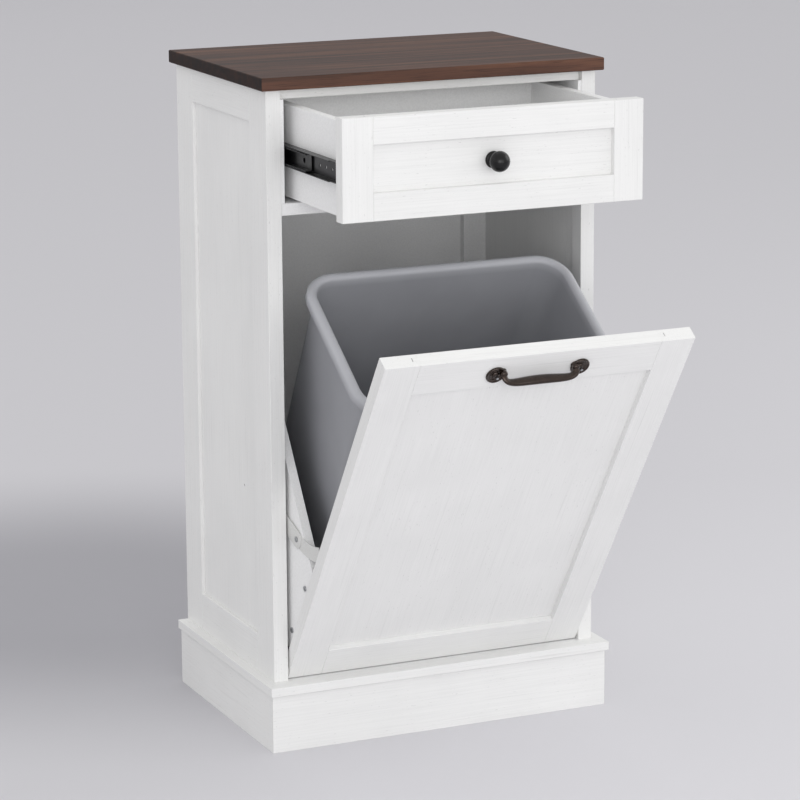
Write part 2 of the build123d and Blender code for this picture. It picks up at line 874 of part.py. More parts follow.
def anchor_screws():
    length = strap_thickness + side_thickness - side_recess - blind_end
    seat = -half_inside + strap_thickness
    place = Pos(seat, strap_anchor_back, strap_anchor_height) * Rot(0, 0, 180)
    return pair(place * screw(length))


def rounded(width, depth, corner):
    # A rectangle whose round corners are drawn as straight steps.
    points = []
    for quarter in range(4):
        for step in range(bin_corner_steps + 1):
            turn = pi / 2 * (quarter + step / bin_corner_steps)
            along = 1 if quarter in (0, 3) else -1
            back = 1 if quarter in (0, 1) else -1
            points.append((along * (width / 2 - corner) + corner * cos(turn),
                           back * (depth / 2 - corner) + corner * sin(turn)))
    return make_face(Polyline(*points, close=True))


def tapered_box(low, width, depth, corner):
    # A rounded box that narrows downwards from the bin's mouth to the given level.
    box = Pos(0, 0, bin_height) * extrude(
        rounded(width, depth, corner), low - bin_height, taper=bin_taper
    )
    return chamfer(box.faces().sort_by(Axis.Z)[0].edges(), bin_foot_edge - low)


def waste_bin():
    # A tapered thin-walled tub with a rolled rim that hangs down outside its mouth.
    inset = 2 * bin_rim_overhang
    thick = 2 * bin_wall
    mouth = (bin_rim_width - inset, bin_rim_depth - inset, bin_corner - bin_rim_overhang)
    outside = tapered_box(0, *mouth)
    inside = tapered_box(bin_wall, mouth[0] - thick, mouth[1] - thick, mouth[2] - bin_wall)
    rim = extrude(rounded(bin_rim_width, bin_rim_depth, bin_corner), bin_rim_drop)
    rim = chamfer(rim.faces().sort_by(Axis.Z)[-1].edges(), bin_rim_edge)
    rim -= extrude(
        rounded(bin_rim_width - thick, bin_rim_depth - thick, bin_corner - bin_wall),
        bin_rim_drop - bin_rim_edge,
    )
    shell = Pos(0, 0, bin_height - bin_rim_drop) * rim + outside - inside
    middle = door_thickness + bin_front_gap + bin_rim_depth / 2
    return {"bin": Pos(0, middle, carrier_floor_top + seat_gap) * shell}


def moved(pieces, place):
    return {name: place * part for name, part in pieces.items()}


def posed():
    # Every piece where it stands with the drawer pulled out and the door tilted open.
    inner, inner_cages, middle, outer_cages, outer = slides()
    tilted = Pos(0, pivot_back, pivot_height) * Rot(door_tilt, 0, 0)
    tilted *= Pos(0, -pivot_back, -pivot_height)
    pieces = top_slab() | side_frames() | base() | inside_boards() | inner
    pieces |= {
        "cam_locks": cam_locks(), "pivot_bushes": pivot_bushes(),
        "strap_anchor_screws": anchor_screws(), "restraint_straps": restraint_straps(),
    }
    pieces |= moved(inner_cages, Pos(0, -drawer_open / 4, 0))
    pieces |= moved(middle, Pos(0, -drawer_open / 2, 0))
    pieces |= moved(outer_cages, Pos(0, -drawer_open * 3 / 4, 0))
    pieces |= moved(drawer() | outer, Pos(0, -drawer_open, 0))
    return pieces | moved(door() | carrier() | waste_bin(), tilted)


# The origin is on the floor under the middle of the whole object as it stands.
pieces = posed()
front_end = min(part.bounding_box().min.Y for part in pieces.values())
back_end = max(part.bounding_box().max.Y for part in pieces.values())
origin_back = (front_end + back_end) / 2
os.makedirs("parts", exist_ok=True)
for name, part in pieces.items():
    export_step(Pos(0, -origin_back, 0) * part, f"parts/{name}.step")
print(len(pieces), "pieces, origin", round(origin_back, 3), "mm behind the stiles' front faces")
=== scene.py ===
import json
from math import atan2, cos, pi, radians, sin, tan
import bpy
from mathutils import Matrix, Quaternion, Vector


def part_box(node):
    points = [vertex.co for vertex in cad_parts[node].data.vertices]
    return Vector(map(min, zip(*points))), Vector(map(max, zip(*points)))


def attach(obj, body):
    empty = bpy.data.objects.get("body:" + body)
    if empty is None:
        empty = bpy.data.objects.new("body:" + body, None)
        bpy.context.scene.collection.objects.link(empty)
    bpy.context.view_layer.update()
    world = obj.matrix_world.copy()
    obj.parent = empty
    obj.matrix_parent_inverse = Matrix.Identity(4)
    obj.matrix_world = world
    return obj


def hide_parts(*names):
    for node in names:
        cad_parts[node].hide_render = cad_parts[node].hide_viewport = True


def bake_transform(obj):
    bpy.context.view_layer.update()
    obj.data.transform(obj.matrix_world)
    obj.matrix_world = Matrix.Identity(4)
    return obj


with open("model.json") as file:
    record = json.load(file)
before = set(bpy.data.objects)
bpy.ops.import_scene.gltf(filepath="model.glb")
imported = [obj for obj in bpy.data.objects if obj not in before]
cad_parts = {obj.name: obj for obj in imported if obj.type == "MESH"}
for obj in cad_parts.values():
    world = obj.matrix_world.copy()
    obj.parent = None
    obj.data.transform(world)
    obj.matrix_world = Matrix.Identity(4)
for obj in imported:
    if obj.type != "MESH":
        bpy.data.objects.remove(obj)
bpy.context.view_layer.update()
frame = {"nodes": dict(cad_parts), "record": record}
print("frame loaded:", len(frame["nodes"]), "CAD pieces")

# As stored, the door, its tray and the bin lean forward by this much about the hinge
doorTilt = 34.0
joints = {joint["name"]: joint for joint in frame["record"]["behaviour"]["joints"]}
hinge = Vector(joints["door_tilt"]["pos_m"])
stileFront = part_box("left_front_stile")[0][1]


def linear(hexColour):
    # sRGB hex to the linear values that the shader sockets take
    channels = [int(hexColour[i:i + 2], 16) / 255 for i in (1, 3, 5)]
    return [c / 12.92 if c <= 0.04045 else ((c + 0.055) / 1.055) ** 2.4 for c in channels] + [1.0]


def addNode(material, kind, settings=None, sockets=None):
    # one shader node, its settings and what goes into its sockets, values or links; a
    # colour Mix node takes its factor in socket 0 and its colours in 6 and 7, and gives
    # its result in output 2
    tree = material.node_tree
    node = tree.nodes.new(kind)
    for name, value in (settings or {}).items():
        setattr(node, name, value)
    for name, value in (sockets or {}).items():
        if isinstance(value, bpy.types.NodeSocket):
            tree.links.new(value, node.inputs[name])
        else:
            node.inputs[name].default_value = value
    return node


def newMaterial(name):
    material = bpy.data.materials.new(name)
    material.use_nodes = True
    material.node_tree.nodes.clear()
    return material


def finishMaterial(material, sockets):
    shader = addNode(material, "ShaderNodeBsdfPrincipled", {}, sockets)
    addNode(material, "ShaderNodeOutputMaterial", {}, {"Surface": shader.outputs["BSDF"]})
    return material


def setRamp(node, stops):
    # stops are (position, hex colour), at least two
    elements = node.color_ramp.elements
    while len(elements) < len(stops):
        elements.new(0.5)
    for element, (place, colour) in zip(elements, stops):
        element.position = place
        element.color = linear(colour)


def grainScale(along, length, width):
    # a pattern's scale in each direction: this long along the grain, this wide across it
    return [1 / length if axis == along else 1 / width for axis in "XYZ"]


multiply = {"data_type": "RGBA", "blend_type": "MULTIPLY"}

# Brushed white lacquer on wood board, sprayed thin over wire-brushed grain: streaks
# 1.6 mm wide and 110 mm long, under sparse grey furrows about twice as wide and a few
# dark specks 6 mm long, all along each piece
paint = {
    "light": "#EFEFEE", "middle": "#EAEAE9", "furrow": "#C9C9C8", "speck": "#8C8C8A",
    "joint": "#BDBDBC", "cloud": "#FAFAFA",
    "streakWidth": 0.0016, "streakLength": 0.11, "furrowShare": 0.45, "cloudWidth": 0.12,
    "speckWidth": 0.0011, "speckLength": 0.006, "jointWidth": 0.0007,
    "furrowStrength": 0.22, "speckStrength": 0.3,
    "roughness": 0.46, "bumpDepth": 0.00022, "easedEdge": 0.0006,
}


def brushedPaint(name, along, tilt=0.0, rail=None):
    # along is the grain's axis before the door is tilted; rail names a rail between two
    # stiles, whose joints with them show as hairlines
    material = newMaterial(name)
    place = addNode(material, "ShaderNodeTexCoord")
    stood = addNode(material, "ShaderNodeMapping", {}, {
        "Vector": place.outputs["Object"], "Rotation": (radians(-tilt), 0, 0)})
    brushed = addNode(material, "ShaderNodeMapping", {}, {
        "Vector": stood.outputs["Vector"],
        "Scale": grainScale(along, paint["streakLength"], paint["streakWidth"])})
    streaks = addNode(material, "ShaderNodeTexNoise", {}, {
        "Vector": brushed.outputs["Vector"], "Scale": 1.0, "Detail": 3.0, "Roughness": 0.6})
    tone = addNode(material, "ShaderNodeValToRGB", {}, {"Fac": streaks.outputs["Fac"]})
    setRamp(tone, [(0.30, paint["middle"]), (0.62, paint["light"])])

    sparse = addNode(material, "ShaderNodeMapping", {}, {
        "Vector": brushed.outputs["Vector"], "Scale": [paint["furrowShare"]] * 3})
    furrows = addNode(material, "ShaderNodeTexNoise", {}, {
        "Vector": sparse.outputs["Vector"], "Scale": 1.0, "Detail": 4.0, "Roughness": 0.7})
    furrowTone = addNode(material, "ShaderNodeValToRGB", {}, {"Fac": furrows.outputs["Fac"]})
    setRamp(furrowTone, [(0.27, paint["furrow"]), (0.40, "#FFFFFF")])
    furrowed = addNode(material, "ShaderNodeMix", multiply, {
        0: paint["furrowStrength"], 6: tone.outputs["Color"], 7: furrowTone.outputs["Color"]})

    clouds = addNode(material, "ShaderNodeTexNoise", {}, {
        "Vector": stood.outputs["Vector"], "Scale": 1 / paint["cloudWidth"], "Detail": 2.0})
    cloudTone = addNode(material, "ShaderNodeValToRGB", {}, {"Fac": clouds.outputs["Fac"]})
    setRamp(cloudTone, [(0.30, paint["cloud"]), (0.70, "#FFFFFF")])
    clouded = addNode(material, "ShaderNodeMix", multiply, {
        0: 1.0, 6: furrowed.outputs[2], 7: cloudTone.outputs["Color"]})

    dotted = addNode(material, "ShaderNodeMapping", {}, {
        "Vector": stood.outputs["Vector"],
        "Scale": grainScale(along, paint["speckLength"], paint["speckWidth"])})
    specks = addNode(material, "ShaderNodeTexNoise", {}, {
        "Vector": dotted.outputs["Vector"], "Scale": 1.0, "Detail": 1.0})
    speckTone = addNode(material, "ShaderNodeValToRGB", {}, {"Fac": specks.outputs["Fac"]})
    setRamp(speckTone, [(0.20, paint["speck"]), (0.29, "#FFFFFF")])
    coloured = addNode(material, "ShaderNodeMix", multiply, {
        0: paint["speckStrength"], 6: clouded.outputs[2], 7: speckTone.outputs["Color"]})

    if rail:
        low, high = (corner["XYZ".index(along)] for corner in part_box(rail))
        parted = addNode(material, "ShaderNodeSeparateXYZ", {}, {
            "Vector": place.outputs["Object"]})
        offset = addNode(material, "ShaderNodeMath", {"operation": "SUBTRACT"}, {
            0: parted.outputs[along], 1: (low + high) / 2})
        away = addNode(material, "ShaderNodeMath", {"operation": "ABSOLUTE"}, {
            0: offset.outputs[0]})
        atJoint = addNode(material, "ShaderNodeMath", {"operation": "COMPARE"}, {
            0: away.outputs[0], 1: (high - low) / 2, 2: paint["jointWidth"]})
        coloured = addNode(material, "ShaderNodeMix", multiply, {
            0: atJoint.outputs[0], 6: coloured.outputs[2], 7: linear(paint["joint"])})

    eased = addNode(material, "ShaderNodeBevel", {"samples": 4}, {"Radius": paint["easedEdge"]})
    bump = addNode(material, "ShaderNodeBump", {}, {
        "Height": furrows.outputs["Fac"], "Strength": 0.5, "Distance": paint["bumpDepth"],
        "Normal": eased.outputs["Normal"]})
    return finishMaterial(material, {
        "Base Color": coloured.outputs[2], "Roughness": paint["roughness"], "IOR": 1.5,
        "Normal": bump.outputs["Normal"]})


paintUpright = brushedPaint("Brushed white lacquer, grain upright", "Z")
paintAcross = brushedPaint("Brushed white lacquer, grain across", "X")
paintDrawerAcross = brushedPaint("Brushed white lacquer, drawer rails", "X", rail="drawer_top_rail")
paintDeep = brushedPaint("Brushed white lacquer, grain front to back", "Y")
paintTopRail = brushedPaint("Brushed white lacquer, top rail", "X", rail="top_front_rail")
paintSideRails = brushedPaint("Brushed white lacquer, side rails", "Y", rail="left_side_top_rail")
paintDoorUpright = brushedPaint("Brushed white lacquer, door grain upright", "Z", doorTilt)
paintDoorAcross = brushedPaint(
    "Brushed white lacquer, door rails", "X", doorTilt, rail="door_top_rail")

# Melamine-faced board: pressed smooth, with only a faint mottle, drawn 2 mm wide to show
board = {
    "light": "#F4F4F4", "dark": "#ECECEC", "mottle": 0.0022, "roughness": 0.5,
    "bumpDepth": 0.0001,
}
melamine = newMaterial("White melamine board, pressed")
place = addNode(melamine, "ShaderNodeTexCoord")
mottle = addNode(melamine, "ShaderNodeTexNoise", {}, {
    "Vector": place.outputs["Object"], "Scale": 1 / board["mottle"], "Detail": 2.0})
tone = addNode(melamine, "ShaderNodeValToRGB", {}, {"Fac": mottle.outputs["Fac"]})
setRamp(tone, [(0.3, board["dark"]), (0.7, board["light"])])
bump = addNode(melamine, "ShaderNodeBump", {}, {
    "Height": mottle.outputs["Fac"], "Strength": 0.3, "Distance": board["bumpDepth"]})
finishMaterial(melamine, {
    "Base Color": tone.outputs["Color"], "Roughness": board["roughness"], "IOR": 1.5,
    "Normal": bump.outputs["Normal"]})

# Walnut laminate: a printed grain along the slab, with dark pores 1.1 mm wide and 45 mm
# long over bands 14 mm wide, under a satin resin; faces turned to the front and back get a
# painted sheen that makes them paler, and faces across the ends a painted shade that makes them
# darker
walnut = {
    "dark": "#2C1A12", "middle": "#482C20", "light": "#664330", "pore": "#6A564C",
    "endPaintedShade": "#7E6C5E", "edgePaintedSheen": "#40302A",
    "bandWidth": 0.014, "bandLength": 0.5, "poreWidth": 0.0011, "poreLength": 0.045,
    "poreStrength": 0.8,
    "roughness": 0.55, "specular": 0.2, "bumpDepth": 0.00012, "easedEdge": 0.0006,
}
laminate = newMaterial("Walnut laminate, printed and embossed")
place = addNode(laminate, "ShaderNodeTexCoord")
wide = addNode(laminate, "ShaderNodeMapping", {}, {
    "Vector": place.outputs["Object"],
    "Scale": grainScale("X", walnut["bandLength"], walnut["bandWidth"])})
bands = addNode(laminate, "ShaderNodeTexNoise", {}, {
    "Vector": wide.outputs["Vector"], "Scale": 1.0, "Detail": 5.0, "Roughness": 0.55,
    "Distortion": 0.6})
tone = addNode(laminate, "ShaderNodeValToRGB", {}, {"Fac": bands.outputs["Fac"]})
setRamp(tone, [(0.32, walnut["dark"]), (0.50, walnut["middle"]), (0.68, walnut["light"])])
narrow = addNode(laminate, "ShaderNodeMapping", {}, {
    "Vector": place.outputs["Object"],
    "Scale": grainScale("X", walnut["poreLength"], walnut["poreWidth"])})
pores = addNode(laminate, "ShaderNodeTexNoise", {}, {
    "Vector": narrow.outputs["Vector"], "Scale": 1.0, "Detail": 2.0, "Roughness": 0.5})
poreTone = addNode(laminate, "ShaderNodeValToRGB", {}, {"Fac": pores.outputs["Fac"]})
setRamp(poreTone, [(0.34, walnut["pore"]), (0.46, "#FFFFFF")])
grained = addNode(laminate, "ShaderNodeMix", multiply, {
    0: walnut["poreStrength"], 6: tone.outputs["Color"], 7: poreTone.outputs["Color"]})
# painted light and shade by the way each face turns: end faces darker, front and back faces paler
facing = addNode(laminate, "ShaderNodeSeparateXYZ", {}, {"Vector": place.outputs["Normal"]})
ends = addNode(laminate, "ShaderNodeMath", {"operation": "ABSOLUTE"}, {0: facing.outputs["X"]})
endShaded = addNode(laminate, "ShaderNodeMix", multiply, {
    0: ends.outputs["Value"], 6: grained.outputs[2], 7: linear(walnut["endPaintedShade"])})
edges = addNode(laminate, "ShaderNodeMath", {"operation": "ABSOLUTE"}, {0: facing.outputs["Y"]})
edgeSheened = addNode(laminate, "ShaderNodeMix", {"data_type": "RGBA", "blend_type": "SCREEN"}, {
    0: edges.outputs["Value"], 6: endShaded.outputs[2], 7: linear(walnut["edgePaintedSheen"])})
eased = addNode(laminate, "ShaderNodeBevel", {"samples": 4}, {"Radius": walnut["easedEdge"]})
bump = addNode(laminate, "ShaderNodeBump", {}, {
    "Height": pores.outputs["Fac"], "Strength": 0.4, "Distance": walnut["bumpDepth"],
    "Normal": eased.outputs["Normal"]})
finishMaterial(laminate, {
    "Base Color": edgeSheened.outputs[2], "Roughness": walnut["roughness"], "IOR": 1.5,
    "Specular IOR Level": walnut["specular"], "Normal": bump.outputs["Normal"]})

# Polypropylene: injection moulded, satin, with a fine spark-eroded grain of 0.6 mm; the
# rolled rim, between two heights of the upright bin, is painted paler as a painted highlight
tub = {
    "colour": "#9C9DA2", "shade": "#98999E", "rimPaintedHighlight": "#B6B7BC",
    "rimHighlightFrom": 0.533, "rimHighlightTo": 0.546, "grit": 0.0006, "cloudWidth": 0.05,
    "roughness": 0.42, "bumpDepth": 0.00008,
}
binPlastic = newMaterial("Grey polypropylene, injection moulded")
place = addNode(binPlastic, "ShaderNodeTexCoord")
flow = addNode(binPlastic, "ShaderNodeTexNoise", {}, {
    "Vector": place.outputs["Object"], "Scale": 1 / tub["cloudWidth"], "Detail": 2.0})
tone = addNode(binPlastic, "ShaderNodeValToRGB", {}, {"Fac": flow.outputs["Fac"]})
setRamp(tone, [(0.3, tub["shade"]), (0.7, tub["colour"])])
# painted highlight: the rolled rim, between two heights of the upright bin, is mixed towards a
# paler grey
fromHinge = addNode(binPlastic, "ShaderNodeVectorMath", {"operation": "SUBTRACT"}, {
    0: place.outputs["Object"], 1: hinge})
stood = addNode(binPlastic, "ShaderNodeMapping", {}, {
    "Vector": fromHinge.outputs["Vector"], "Rotation": (radians(-doorTilt), 0, 0)})
level = addNode(binPlastic, "ShaderNodeSeparateXYZ", {}, {"Vector": stood.outputs["Vector"]})
rimHighlightMask = addNode(binPlastic, "ShaderNodeMapRange", {}, {
    "Value": level.outputs["Z"], "From Min": tub["rimHighlightFrom"] - hinge.z,
    "From Max": tub["rimHighlightTo"] - hinge.z})
rimPaintedHighlight = addNode(binPlastic, "ShaderNodeMix", {"data_type": "RGBA"}, {
    0: rimHighlightMask.outputs["Result"], 6: tone.outputs["Color"], 7: linear(tub["rimPaintedHighlight"])})
grit = addNode(binPlastic, "ShaderNodeTexNoise", {}, {
    "Vector": place.outputs["Object"], "Scale": 1 / tub["grit"], "Detail": 1.0})
bump = addNode(binPlastic, "ShaderNodeBump", {}, {
    "Height": grit.outputs["Fac"], "Strength": 0.25, "Distance": tub["bumpDepth"]})
finishMaterial(binPlastic, {
    "Base Color": rimPaintedHighlight.outputs[2], "Roughness": tub["roughness"], "IOR": 1.49,
    "Normal": bump.outputs["Normal"]})


def speckled(name, colour, shade, grit, sockets, depth=0.00005):
    # a plain finish with its own shader values and a faint mottle, which on the small
    # fittings is drawn 1 to 3 mm wide, coarser than it is, so that it shows
    material = newMaterial(name)
    place = addNode(material, "ShaderNodeTexCoord")
    noise = addNode(material, "ShaderNodeTexNoise", {}, {
        "Vector": place.outputs["Object"], "Scale": 1 / grit, "Detail": 2.0})
    tone = addNode(material, "ShaderNodeValToRGB", {}, {"Fac": noise.outputs["Fac"]})
    setRamp(tone, [(0.35, shade), (0.65, colour)])
    bump = addNode(material, "ShaderNodeBump", {}, {
        "Height": noise.outputs["Fac"], "Strength": 0.3, "Distance": depth})
    return finishMaterial(material, {
        "Base Color": tone.outputs["Color"], "Normal": bump.outputs["Normal"]} | sockets)


# Knob: powder coat, nearly black, with one small soft highlight
knobPaint = speckled("Black powder coat, baked", "#0C0C0D", "#080809", 0.0008, {
    "Roughness": 0.27, "IOR": 1.5, "Specular IOR Level": 0.35})
# Handle: dark brown patina that still mirrors the lamps, under a thin clear coat
bronze = speckled("Zinc alloy, oil-rubbed bronze finish", "#3C302A", "#302621", 0.003, {
    "Metallic": 0.9, "Roughness": 0.24, "Coat Weight": 0.5, "Coat Roughness": 0.10},
    depth=0.00001)
# Slide members: thin black coat over rolled steel, with a metal's sheen
blackSteel = speckled("Cold-rolled steel, black electrocoat", "#1B1B1D", "#121214", 0.002, {
    "Metallic": 0.3, "Roughness": 0.3})
# Screws, pins and ball cages: bright cool grey
zincSteel = speckled("Steel, zinc plated", "#B9BBBD", "#9FA1A4", 0.0015, {
    "Metallic": 1.0, "Roughness": 0.28})
# Cam locks: duller grey with a cast skin
castZinc = speckled("Zinc, die cast", "#A7A8AA", "#8E8F92", 0.0012, {
    "Metallic": 1.0, "Roughness": 0.45})
# Pivot bushes: creamy white, satin
nylon = speckled("White nylon, moulded", "#E4E4E0", "#DAD9D4", 0.0015, {
    "Roughness": 0.4, "IOR": 1.53})
# Straps and corner bands: milky white, satin
strapPlastic = speckled("White polyethylene strap, extruded", "#DCDCDA", "#D0D0CE", 0.0015, {
    "Roughness": 0.45, "IOR": 1.51})
print("materials made")

finishes = {
    "top_panel": laminate, "bin": binPlastic, "drawer_knob": knobPaint, "door_handle": bronze,
    "cap_front": paintAcross, "plinth_front": paintAcross, "drawer_panel": paintAcross,
    "cap_left": paintDeep, "cap_right": paintDeep,
    "plinth_left": paintDeep, "plinth_right": paintDeep,
    "top_front_rail": paintTopRail,
    "left_side_top_rail": paintSideRails, "right_side_top_rail": paintSideRails,
    "left_side_bottom_rail": paintSideRails, "right_side_bottom_rail": paintSideRails,
    "drawer_top_rail": paintDrawerAcross, "drawer_bottom_rail": paintDrawerAcross,
    "door_top_rail": paintDoorAcross, "door_bottom_rail": paintDoorAcross,
    "door_left_stile": paintDoorUpright, "door_right_stile": paintDoorUpright,
    "door_panel": paintDoorUpright,
    "slide_outer_members": blackSteel, "slide_middle_members": blackSteel,
    "slide_inner_members": blackSteel,
    "slide_outer_cages": zincSteel, "slide_inner_cages": zincSteel, "pivot_pins": zincSteel,
    "knob_screw": zincSteel, "tilt_screws": zincSteel, "strap_anchor_screws": zincSteel,
    "cam_locks": castZinc, "pivot_bushes": nylon,
    "corner_bands": strapPlastic, "restraint_straps": strapPlastic,
}
upright = ("left_front_stile", "right_front_stile", "left_rear_stile", "right_rear_stile",
           "left_side_panel", "right_side_panel", "drawer_left_stile", "drawer_right_stile")
for name, node in frame["nodes"].items():
    finish = finishes.get(name, paintUpright if name in upright else melamine)
    if not node.material_slots:
        node.data.materials.append(finish)
    for materialSlot in node.material_slots:
        materialSlot.material = finish
print("CAD pieces dressed")

smoothUnder = radians(40)
sharpOver = radians(50)
tiltForward = (Matrix.Translation(hinge) @ Matrix.Rotation(radians(doorTilt), 4, "X")
               @ Matrix.Translation(-hinge))
faceForward = Matrix.Rotation(radians(90), 4, "X")


def selectOnly(piece):
    bpy.ops.object.select_all(action="DESELECT")
    piece.select_set(True)
    bpy.context.view_layer.objects.active = piece


def placePiece(piece, matrix):
    # what was modelled at the origin goes to its place, in its mesh
    piece.data.transform(matrix @ piece.matrix_world)
    piece.matrix_world = Matrix()


def finishPiece(piece, finish, slotName, body, *nodes):
    # body is left out for a piece that runs between two bodies and is attached to neither
    selectOnly(piece)
    bpy.ops.object.shade_smooth_by_angle(angle=smoothUnder)
    piece.data.materials.clear()
    piece.data.materials.append(finish)
    if body:
        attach(piece, body)
    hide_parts(*nodes)


def giveWall(piece, thickness, edge, edgeSteps, even):
    # a sheet gets its thickness on the inside, and edges with a small round
    wall = piece.modifiers.new("wall", "SOLIDIFY")
    wall.thickness = thickness
    wall.offset = -1
    wall.use_even_offset = even
    edges = piece.modifiers.new("edges", "BEVEL")
    edges.width = edge
    edges.segments = edgeSteps
    edges.limit_method = "ANGLE"
    edges.angle_limit = sharpOver
    bpy.ops.object.modifier_apply(modifier="wall")
    bpy.ops.object.modifier_apply(modifier="edges")


def drawRings(name, rings, sides):
    # a turned shape: a disc drawn up ring by ring, each a radius and a height above its
    # foot in millimetres
    rings = [(radius / 1000, high / 1000) for radius, high in rings]
    bpy.ops.object.select_all(action="DESELECT")
    bpy.ops.mesh.primitive_circle_add(
        vertices=sides, radius=rings[0][0], fill_type="NGON", location=(0, 0, rings[0][1]))
    piece = bpy.context.object
    piece.name = name
    placePiece(piece, Matrix())
    bpy.ops.object.mode_set(mode="EDIT")
    bpy.ops.mesh.select_all(action="SELECT")
    for (before, low), (radius, high) in zip(rings, rings[1:]):
        bpy.ops.mesh.extrude_region_move(TRANSFORM_OT_translate={"value": (0, 0, high - low)})
        bpy.ops.transform.resize(
            value=(radius / before, radius / before, 1), center_override=(0, 0, high))
    bpy.ops.mesh.select_all(action="SELECT")
    bpy.ops.mesh.normals_make_consistent(inside=False)
    bpy.ops.object.mode_set(mode="OBJECT")
    return piece


# Bin: a deep tub drawn from the outer edge of its rolled rim, over the roll, down the
# tapered inside and across its floor, and then given its wall
tubShape = {
    "width": 0.385, "depth": 0.255, "height": 0.412, "corner": 0.046, "cornerSteps": 12,
    "skirt": 0.0085, "rollWidth": 0.0136, "rollHeight": 0.0062, "rollSteps": 12,
    "taper": 2.7, "wall": 0.0026, "lip": 0.0009, "lipSteps": 3,
    "middle": 0.1795, "floorHeight": 0.1373,
}
bpy.ops.object.select_all(action="DESELECT")
bpy.ops.mesh.primitive_plane_add(size=1)
tubPiece = bpy.context.object
tubPiece.name = "bin_tub"
rollFoot = tubShape["height"] - tubShape["rollHeight"]
skirtFoot = rollFoot - tubShape["skirt"]
bpy.ops.object.mode_set(mode="EDIT")
bpy.ops.mesh.select_all(action="SELECT")
bpy.ops.transform.resize(value=(tubShape["width"], tubShape["depth"], 1))
bpy.ops.transform.translate(value=(0, 0, skirtFoot))
bpy.ops.mesh.bevel(
    offset=tubShape["corner"], segments=tubShape["cornerSteps"], affect="VERTICES")
bpy.ops.mesh.extrude_region_move(TRANSFORM_OT_translate={"value": (0, 0, tubShape["skirt"])})
for step in range(tubShape["rollSteps"]):
    # half a flattened turn over the roll
    before, after = (pi * count / tubShape["rollSteps"] for count in (step, step + 1))
    bpy.ops.mesh.inset(
        thickness=(cos(before) - cos(after)) * tubShape["rollWidth"] / 2,
        depth=(sin(after) - sin(before)) * tubShape["rollHeight"], use_even_offset=True)
insideDepth = rollFoot - tubShape["wall"]
bpy.ops.mesh.inset(
    thickness=insideDepth * tan(radians(tubShape["taper"])), depth=-insideDepth,
    use_even_offset=True)
bpy.ops.object.mode_set(mode="OBJECT")
# the sheet that closed the skirt from below is taken out
for part in (tubPiece.data.vertices, tubPiece.data.edges):
    for item in part:
        item.select = False
for face in tubPiece.data.polygons:
    face.select = len(face.vertices) > 4 and abs(face.center.z - skirtFoot) < tubShape["lip"] / 2
bpy.ops.object.mode_set(mode="EDIT")
bpy.ops.mesh.delete(type="ONLY_FACE")
bpy.ops.mesh.select_all(action="SELECT")
bpy.ops.mesh.normals_make_consistent(inside=False)
bpy.ops.object.mode_set(mode="OBJECT")
tubFloor = min(tubPiece.data.polygons, key=lambda face: face.center.z)
if tubFloor.normal.z < 0:
    tubPiece.data.flip_normals()
giveWall(tubPiece, tubShape["wall"], tubShape["lip"], tubShape["lipSteps"], even=True)
placePiece(tubPiece, tiltForward @ Matrix.Translation(
    (0, tubShape["middle"] + stileFront, tubShape["floorHeight"])))
finishPiece(tubPiece, binPlastic, "grey_plastic", "bin", "bin")
print("bin made")

# Knob: turned, with a thin foot, a hollow neck and a nearly round head; in millimetres
knobShape = {
    "sides": 48, "widest": 13.5, "level": 19.0, "top": 32.0, "domeSteps": 10, "domeEnd": 89.5,
    "rings": [(10.5, 0), (11, 0.5), (11, 1.8), (10.5, 2.5), (9.0, 3.0), (7.4, 4.4), (6.4, 6.4),
              (6.0, 8.6), (6.3, 10.4), (7.6, 11.8), (9.8, 13.2), (11.8, 15.0), (13.0, 17.0)],
}
rings = list(knobShape["rings"])
for step in range(knobShape["domeSteps"] + 1):
    turn = radians(min(90 * step / knobShape["domeSteps"], knobShape["domeEnd"]))
    rings.append((knobShape["widest"] * cos(turn),
                  knobShape["level"] + (knobShape["top"] - knobShape["level"]) * sin(turn)))
knobPiece = drawRings("turned_knob", rings, knobShape["sides"])
low, high = (Vector(corner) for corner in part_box("drawer_knob"))
placePiece(knobPiece, Matrix.Translation(((low.x + high.x) / 2, high.y, (low.z + high.z) / 2))
           @ faceForward)
finishPiece(knobPiece, knobPaint, "black_knob", "drawer", "drawer_knob")
print("knob made")

# Handle: a cast bow that grows from a bead on each dished rosette
bow = {
    "spacing": 0.117, "height": 0.6555, "rosetteSides": 48, "beadSides": 24,
    "rosette": [(12.4, 0), (13, 0.5), (13, 1.7), (12.6, 2.5), (11.9, 2.95), (11.1, 2.8),
                (10.4, 2.2), (9.6, 1.8), (8.6, 1.7), (8.2, 2.1), (7.6, 2.25), (7.1, 1.9),
                (6.6, 1.5), (5.0, 1.4), (4.6, 2.2), (3.9, 2.9), (2.8, 3.4), (1.5, 3.7),
                (0.1, 3.8)],
    "bead": [(5.4, 0.5), (4.6, 1.6), (4.3, 2.6), (4.7, 3.6), (5.0, 4.8), (5.0, 6.0),
             (4.6, 7.2), (3.8, 8.3), (2.4, 9.1), (0.1, 9.4)],
    "beadInset": 0.0085, "beadRise": 0.0045,
    # along, out and up of the bow's line from the middle between the rosettes, in
    # millimetres, and the share of its full section that it has there
    "line": [(-50.0, 5.0, 4.4, 0.62), (-50.2, 8.6, 2.4, 0.64), (-48.6, 11.8, -0.6, 0.68),
             (-43.0, 13.2, -3.4, 0.76), (-33.0, 13.0, -4.4, 0.90), (-17.0, 12.5, -4.0, 1.02),
             (0.0, 12.3, -3.6, 1.06)],
    "tall": 0.0066, "thick": 0.0045, "sectionSteps": 4, "lineSteps": 8, "weld": 0.00001,
}
parts = []
